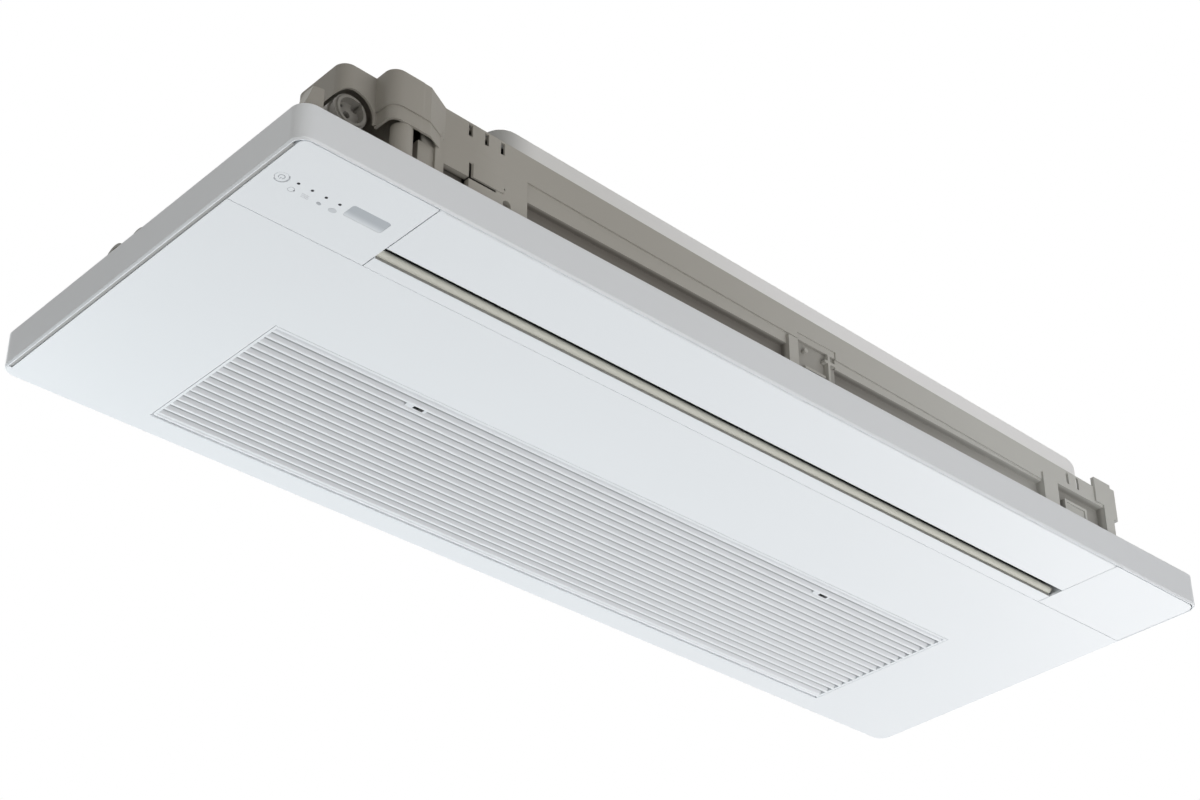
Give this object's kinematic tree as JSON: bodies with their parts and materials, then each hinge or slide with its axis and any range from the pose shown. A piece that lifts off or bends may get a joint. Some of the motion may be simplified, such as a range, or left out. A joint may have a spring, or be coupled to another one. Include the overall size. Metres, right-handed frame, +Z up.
{
  "type": "ceiling cassette air conditioner",
  "caption": "Slim one-way ceiling cassette air conditioner: long white panel with an intake grille, a swinging outlet vane and a display corner, under a grey body with fan and coil.",
  "frame": {"origin": "centre of the ceiling panel's lower face, which faces down into the room", "axes": "+X along the unit's length away from the display, +Y from the outlet towards the intake, +Z up into the ceiling"},
  "size_m": [1.205, 0.463, 0.1569],
  "materials": {
    "panel_white": "satin",
    "frame_grey": "matt",
    "casing_white": "satin",
    "duct_beige": "matt",
    "inner_white": "matt",
    "window_smoke": "frosted",
    "dark_plastic": "matt",
    "filter_net": "matt",
    "foam_dark": "matt",
    "foam_light": "matt",
    "zinc_steel": "satin",
    "fin_aluminium": "satin",
    "copper_tube": "satin",
    "board_green": "satin",
    "float_orange": "matt",
    "bush_rubber": "matt"
  },
  "bodies": {
    "unit": {"panel_frame": "panel_white", "display_cover": "panel_white", "end_cover": "panel_white", "receiver_window": "window_smoke", "indicator_lenses": "window_smoke", "display_board": "board_green", "main_board": "board_green", "base_frame": "frame_grey", "drain_plug": "frame_grey", "drain_port": "frame_grey", "top_casing": "casing_white", "duct_lip": "duct_beige", "scroll_casing": "inner_white", "stabilizer": "inner_white", "drain_pan": "inner_white", "deflector_rail": "inner_white", "float_switch": "inner_white", "terminal_block": "inner_white", "cable_clamp": "inner_white", "drain_pump": "dark_plastic", "room_sensor": "dark_plastic", "panel_gasket": "foam_dark", "roof_liner": "foam_dark", "pipe_sleeves": "foam_light", "vane_motor": "zinc_steel", "vane_pivots": "zinc_steel", "grille_hinge_pins": "zinc_steel", "panel_screws": "zinc_steel", "bay_cover": "zinc_steel", "coil_end_plates": "zinc_steel", "fan_motor": "zinc_steel", "motor_clamp": "zinc_steel", "bearing_bracket": "zinc_steel", "control_box": "zinc_steel", "control_cover": "zinc_steel", "hanger_brackets": "zinc_steel", "case_screws": "zinc_steel", "coil_fins": "fin_aluminium", "coil_tubes": "copper_tube", "gas_pipe": "copper_tube", "liquid_pipe": "copper_tube", "fan_bearing": "bush_rubber"},
    "vane": {"vane": "panel_white"},
    "grille": {"intake_grille": "panel_white", "air_filters": "filter_net"},
    "catch_left": {"grille_catch_left": "dark_plastic"},
    "catch_right": {"grille_catch_right": "dark_plastic"},
    "button": {"power_button": "panel_white"},
    "fan": {"crossflow_fan": "dark_plastic", "fan_shaft": "zinc_steel"},
    "float_body": {"float": "float_orange"},
    "link": {"deflector_link": "inner_white"},
    "blade_1": {"deflector_1": "dark_plastic"},
    "blade_2": {"deflector_2": "dark_plastic"},
    "blade_3": {"deflector_3": "dark_plastic"},
    "blade_4": {"deflector_4": "dark_plastic"},
    "blade_5": {"deflector_5": "dark_plastic"},
    "blade_6": {"deflector_6": "dark_plastic"},
    "blade_7": {"deflector_7": "dark_plastic"},
    "blade_8": {"deflector_8": "dark_plastic"}
  },
  "joints": [
    {"name": "vane_swing", "type": "hinge", "parent": "unit", "child": "vane", "pos_m": [0.0025, -0.1575, 0.014], "axis": [1, 0, 0], "range_deg": [0, 70]},
    {"name": "grille_swing", "type": "hinge", "parent": "unit", "child": "grille", "pos_m": [0, 0.1982, 0.004], "axis": [1, 0, 0], "range_deg": [0, 90]},
    {"name": "catch_left_slide", "type": "slide", "parent": "grille", "child": "catch_left", "axis": [-1, 0, 0], "range_m": [0, 0.0055]},
    {"name": "catch_right_slide", "type": "slide", "parent": "grille", "child": "catch_right", "axis": [-1, 0, 0], "range_m": [0, 0.0055]},
    {"name": "button_press", "type": "slide", "parent": "unit", "child": "button", "axis": [0, 0, 1], "range_m": [0, 0.0008], "stiffness_N_per_m": 400, "springref_m": -0.0008},
    {"name": "fan_spin", "type": "hinge", "parent": "unit", "child": "fan", "pos_m": [0, -0.096, 0.082], "axis": [1, 0, 0], "continuous": true},
    {"name": "float_rise", "type": "slide", "parent": "unit", "child": "float_body", "axis": [0, 0, 1], "range_m": [0, 0.012]},
    {"name": "blade_1_turn", "type": "hinge", "parent": "unit", "child": "blade_1", "pos_m": [-0.36375, -0.16, 0.04], "axis": [0, 0, 1], "range_deg": [-30, 30]},
    {"name": "blade_2_turn", "type": "hinge", "parent": "unit", "child": "blade_2", "pos_m": [-0.25575, -0.16, 0.04], "axis": [0, 0, 1], "range_deg": [-30, 30]},
    {"name": "blade_3_turn", "type": "hinge", "parent": "unit", "child": "blade_3", "pos_m": [-0.14775, -0.16, 0.04], "axis": [0, 0, 1], "range_deg": [-30, 30]},
    {"name": "blade_4_turn", "type": "hinge", "parent": "unit", "child": "blade_4", "pos_m": [-0.03975, -0.16, 0.04], "axis": [0, 0, 1], "range_deg": [-30, 30]},
    {"name": "blade_5_turn", "type": "hinge", "parent": "unit", "child": "blade_5", "pos_m": [0.06825, -0.16, 0.04], "axis": [0, 0, 1], "range_deg": [-30, 30]},
    {"name": "blade_6_turn", "type": "hinge", "parent": "unit", "child": "blade_6", "pos_m": [0.17625, -0.16, 0.04], "axis": [0, 0, 1], "range_deg": [-30, 30]},
    {"name": "blade_7_turn", "type": "hinge", "parent": "unit", "child": "blade_7", "pos_m": [0.28425, -0.16, 0.04], "axis": [0, 0, 1], "range_deg": [-30, 30]},
    {"name": "blade_8_turn", "type": "hinge", "parent": "unit", "child": "blade_8", "pos_m": [0.39225, -0.16, 0.04], "axis": [0, 0, 1], "range_deg": [-30, 30]},
    {"name": "link_slide", "type": "slide", "parent": "unit", "child": "link", "axis": [-1, 0, 0], "range_m": [-0.00785, 0.00785]}
  ],
  "couplings": [
    {"joint": "blade_1_turn", "follows": "link_slide", "rad_per_m": 66.667},
    {"joint": "blade_2_turn", "follows": "link_slide", "rad_per_m": 66.667},
    {"joint": "blade_3_turn", "follows": "link_slide", "rad_per_m": 66.667},
    {"joint": "blade_4_turn", "follows": "link_slide", "rad_per_m": 66.667},
    {"joint": "blade_5_turn", "follows": "link_slide", "rad_per_m": 66.667},
    {"joint": "blade_6_turn", "follows": "link_slide", "rad_per_m": 66.667},
    {"joint": "blade_7_turn", "follows": "link_slide", "rad_per_m": 66.667},
    {"joint": "blade_8_turn", "follows": "link_slide", "rad_per_m": 66.667}
  ]
}
